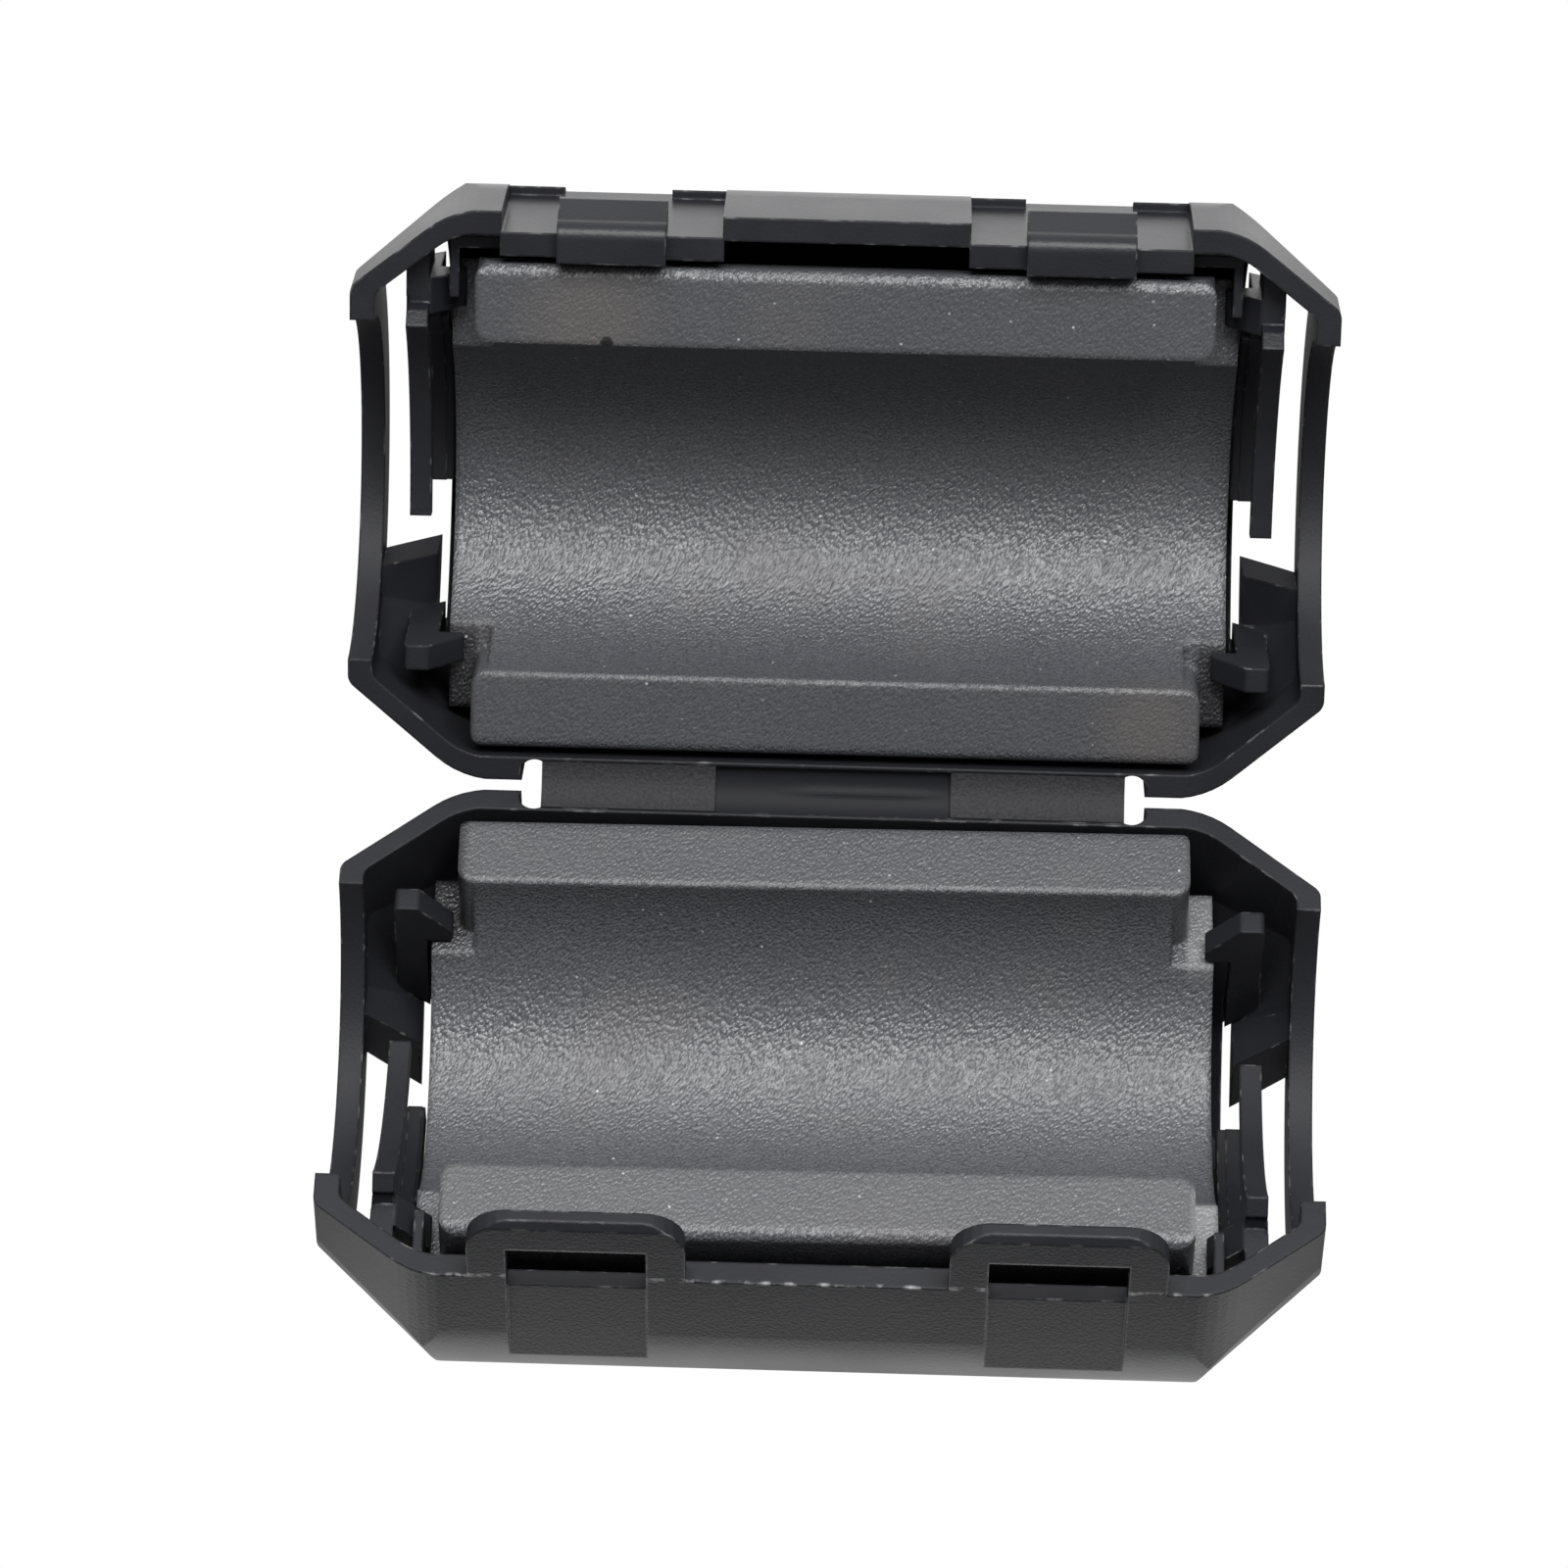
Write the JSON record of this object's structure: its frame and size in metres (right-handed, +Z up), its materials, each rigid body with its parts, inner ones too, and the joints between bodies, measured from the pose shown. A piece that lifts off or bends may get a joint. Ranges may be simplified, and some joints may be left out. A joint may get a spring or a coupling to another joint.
{
  "type": "clip-on ferrite bead",
  "caption": "Clip-on cable noise suppressor: a hinged two-part plastic case, shown open, with a ferrite half core clipped into each part.",
  "frame": {"origin": "middle of the footprint of the open bead, on the surface it stands on", "axes": "+X along the cable, +Y from the hinge axis towards the tab half, +Z up"},
  "size_m": [0.0364, 0.044, 0.0198],
  "materials": {
    "case_plastic": "fine satin moulded polypropylene",
    "ferrite": "fine-grained sintered ferrite with ground lands"
  },
  "bodies": {
    "loop_half": {"loop_half_case": "case_plastic", "loop_half_core": "ferrite", "living_hinge": "case_plastic"},
    "tab_half": {"tab_half_case": "case_plastic", "tab_half_core": "ferrite"}
  },
  "joints": [
    {"name": "case_hinge", "type": "hinge", "parent": "loop_half", "child": "tab_half", "pos_m": [0, 0, 0.00687], "axis": [1, 0, 0], "range_deg": [-55, 125], "deforming": ["living_hinge"]}
  ]
}
